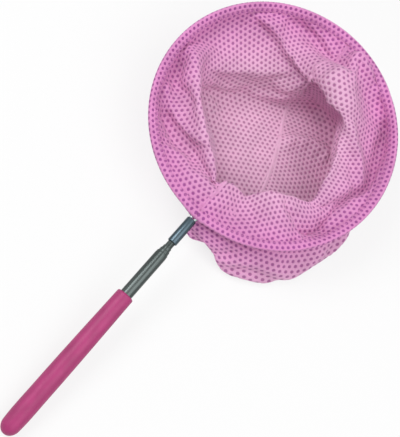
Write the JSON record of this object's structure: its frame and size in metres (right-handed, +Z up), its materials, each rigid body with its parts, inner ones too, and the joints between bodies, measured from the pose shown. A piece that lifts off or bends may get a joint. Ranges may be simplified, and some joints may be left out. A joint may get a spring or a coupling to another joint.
{
  "type": "butterfly net",
  "caption": "Telescopic butterfly net with a soft vinyl grip, sliding steel tubes, a ferrule, a round wire hoop and a crumpled mesh bag, lying on a table with its rod pushed in.",
  "frame": {"origin": "on the table, straight under the centre of the hoop", "axes": "+X along the handle's plan direction, from the grip to the hoop; +Z up; the handle's axis rises 9 degrees towards +X"},
  "size_m": [0.3977, 0.2069, 0.0718],
  "materials": {
    "vinyl": "soft satin",
    "steel": "drawn",
    "bright_steel": "satin",
    "brass": "plain",
    "plug_plastic": "moulded",
    "mesh": "pinhole mesh",
    "hem_fabric": "pinhole mesh, doubled",
    "thread": "spun"
  },
  "bodies": {
    "handle": {"grip_sleeve": "vinyl", "outer_tube": "steel", "end_plug": "plug_plastic"},
    "second_springs": {"second_spring_a": "brass", "second_spring_b": "brass"},
    "second_stage": {"second_tube": "steel"},
    "third_springs": {"third_spring_a": "brass", "third_spring_b": "brass"},
    "third_stage": {"third_tube": "steel"},
    "inner_springs": {"inner_spring_a": "brass", "inner_spring_b": "brass"},
    "head": {"inner_tube": "steel", "ferrule": "bright_steel", "hoop_wire": "steel", "hem_sleeve": "hem_fabric", "hem_thread": "thread", "net_panel_left": "mesh", "net_panel_right": "mesh", "seam_thread": "thread"}
  },
  "joints": [
    {"name": "second_tube_slide", "type": "slide", "parent": "handle", "child": "second_springs", "axis": [0.9877, 0, 0.1564], "range_m": [0, 0.134]},
    {"name": "second_tube_swivel", "type": "hinge", "parent": "second_springs", "child": "second_stage", "pos_m": [-0.27669, 0, 0.00887], "axis": [0.9877, 0, 0.1564], "continuous": true},
    {"name": "third_tube_slide", "type": "slide", "parent": "second_stage", "child": "third_springs", "axis": [0.9877, 0, 0.1564], "range_m": [0, 0.1369]},
    {"name": "third_tube_swivel", "type": "hinge", "parent": "third_springs", "child": "third_stage", "pos_m": [-0.27669, 0, 0.00887], "axis": [0.9877, 0, 0.1564], "continuous": true},
    {"name": "inner_tube_slide", "type": "slide", "parent": "third_stage", "child": "inner_springs", "axis": [0.9877, 0, 0.1564], "range_m": [0, 0.1398]},
    {"name": "inner_tube_swivel", "type": "hinge", "parent": "inner_springs", "child": "head", "pos_m": [-0.27669, 0, 0.00887], "axis": [0.9877, 0, 0.1564], "continuous": true}
  ]
}
